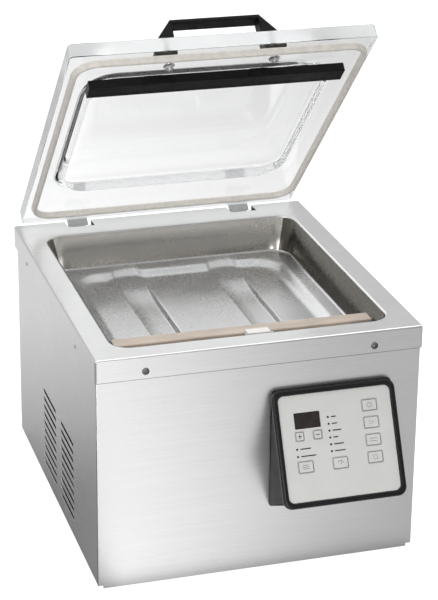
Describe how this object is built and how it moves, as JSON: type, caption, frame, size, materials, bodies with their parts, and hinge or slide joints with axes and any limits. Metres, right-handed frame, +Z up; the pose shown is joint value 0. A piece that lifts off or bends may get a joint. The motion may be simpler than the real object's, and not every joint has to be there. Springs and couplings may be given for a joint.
{
  "type": "vacuum packing machine",
  "caption": "Table-top chamber vacuum packer: steel cabinet with a deep-drawn chamber, a hinged clear domed lid, a lifting seal bar and a sloping key panel.",
  "frame": {"origin": "on the resting surface, under the middle of the whole machine's bounding box with its lid open", "axes": "+Z up, the front with the key panel faces -Y, +X to the right seen from the front"},
  "size_m": [0.368, 0.497, 0.5813],
  "materials": {
    "brushed_steel": "horizontal brushed grain, satin",
    "chamber_steel": "smooth drawn stainless steel, half bright",
    "zinc_steel": "zinc plated, dull",
    "rubber": "matt black rubber",
    "hinge_steel": "bright plated steel",
    "black_plastic": "fine grained black plastic",
    "dark_grey_plastic": "satin dark grey plastic",
    "panel_membrane": "light grey polyester membrane",
    "display_glass": "dark tinted window",
    "circuit_board": "green lacquer",
    "acrylic": "clear polished acrylic",
    "silicone": "beige grey silicone",
    "seal_tape": "tan woven glass cloth with a non-stick coat",
    "seal_bar_metal": "mill finish",
    "white_plastic": "off-white plastic",
    "brass": "machined"
  },
  "bodies": {
    "cabinet": {"base_plate": "zinc_steel", "chamber_tub": "chamber_steel", "control_bezel": "black_plastic", "control_board": "circuit_board", "control_housing": "dark_grey_plastic", "control_overlay": "panel_membrane", "deck_screw_left": "zinc_steel", "deck_screw_right": "zinc_steel", "display_window": "display_glass", "fan_frame": "black_plastic", "foot_front_left": "rubber", "foot_front_right": "rubber", "foot_rear_left": "rubber", "foot_rear_right": "rubber", "front_panel": "brushed_steel", "hinge_base_left": "hinge_steel", "hinge_base_right": "hinge_steel", "hinge_pin_left": "hinge_steel", "hinge_pin_right": "hinge_steel", "left_side_panel": "brushed_steel", "lid_spring_left": "hinge_steel", "lid_spring_right": "hinge_steel", "lift_cylinder_left": "black_plastic", "lift_cylinder_right": "black_plastic", "nozzle_block": "white_plastic", "power_inlet": "black_plastic", "pump_filter": "white_plastic", "pump_head": "seal_bar_metal", "pump_motor": "zinc_steel", "rear_panel": "brushed_steel", "right_side_panel": "brushed_steel", "top_deck": "brushed_steel", "transformer": "zinc_steel", "vacuum_hose": "rubber", "vacuum_valve": "brass"},
    "lid": {"lid_plate": "acrylic", "lid_gasket": "silicone", "counter_bar": "black_plastic", "counter_bar_clip_left": "black_plastic", "counter_bar_clip_right": "black_plastic", "lid_handle": "black_plastic", "handle_bolt_left": "hinge_steel", "handle_bolt_right": "hinge_steel", "handle_nut_left": "hinge_steel", "handle_nut_right": "hinge_steel", "hinge_leaf_left": "hinge_steel", "hinge_leaf_right": "hinge_steel"},
    "seal_bar": {"seal_bar": "seal_bar_metal", "seal_tape": "seal_tape", "lift_rod_left": "hinge_steel", "lift_rod_right": "hinge_steel"},
    "fan": {"fan_rotor": "black_plastic"},
    "key_plus": {"key_plus": "panel_membrane"},
    "key_minus": {"key_minus": "panel_membrane"},
    "key_function": {"key_function": "panel_membrane"},
    "key_vacuum": {"key_vacuum": "panel_membrane"},
    "key_power": {"key_power": "panel_membrane"},
    "key_start": {"key_start": "panel_membrane"},
    "key_seal": {"key_seal": "panel_membrane"},
    "key_stop": {"key_stop": "panel_membrane"}
  },
  "joints": [
    {"name": "lid_hinge", "type": "hinge", "parent": "cabinet", "child": "lid", "pos_m": [0, 0.2203, 0.264], "axis": [1, 0, 0], "range_deg": [0, 45.5], "stiffness_Nm_per_rad": 4, "springref_deg": -74.48},
    {"name": "seal_bar_lift", "type": "slide", "parent": "cabinet", "child": "seal_bar", "axis": [0, 0, 1], "range_m": [0, 0.0105]},
    {"name": "fan_spin", "type": "hinge", "parent": "cabinet", "child": "fan", "pos_m": [-0.1545, 0.0498, 0.072], "axis": [1, 0, 0], "continuous": true},
    {"name": "key_plus_press", "type": "slide", "parent": "cabinet", "child": "key_plus", "axis": [0, 0.8988, -0.4384], "range_m": [0, 0.0004], "stiffness_N_per_m": 3000},
    {"name": "key_minus_press", "type": "slide", "parent": "cabinet", "child": "key_minus", "axis": [0, 0.8988, -0.4384], "range_m": [0, 0.0004], "stiffness_N_per_m": 3000},
    {"name": "key_function_press", "type": "slide", "parent": "cabinet", "child": "key_function", "axis": [0, 0.8988, -0.4384], "range_m": [0, 0.0004], "stiffness_N_per_m": 3000},
    {"name": "key_vacuum_press", "type": "slide", "parent": "cabinet", "child": "key_vacuum", "axis": [0, 0.8988, -0.4384], "range_m": [0, 0.0004], "stiffness_N_per_m": 3000},
    {"name": "key_power_press", "type": "slide", "parent": "cabinet", "child": "key_power", "axis": [0, 0.8988, -0.4384], "range_m": [0, 0.0004], "stiffness_N_per_m": 3000},
    {"name": "key_start_press", "type": "slide", "parent": "cabinet", "child": "key_start", "axis": [0, 0.8988, -0.4384], "range_m": [0, 0.0004], "stiffness_N_per_m": 3000},
    {"name": "key_seal_press", "type": "slide", "parent": "cabinet", "child": "key_seal", "axis": [0, 0.8988, -0.4384], "range_m": [0, 0.0004], "stiffness_N_per_m": 3000},
    {"name": "key_stop_press", "type": "slide", "parent": "cabinet", "child": "key_stop", "axis": [0, 0.8988, -0.4384], "range_m": [0, 0.0004], "stiffness_N_per_m": 3000}
  ]
}
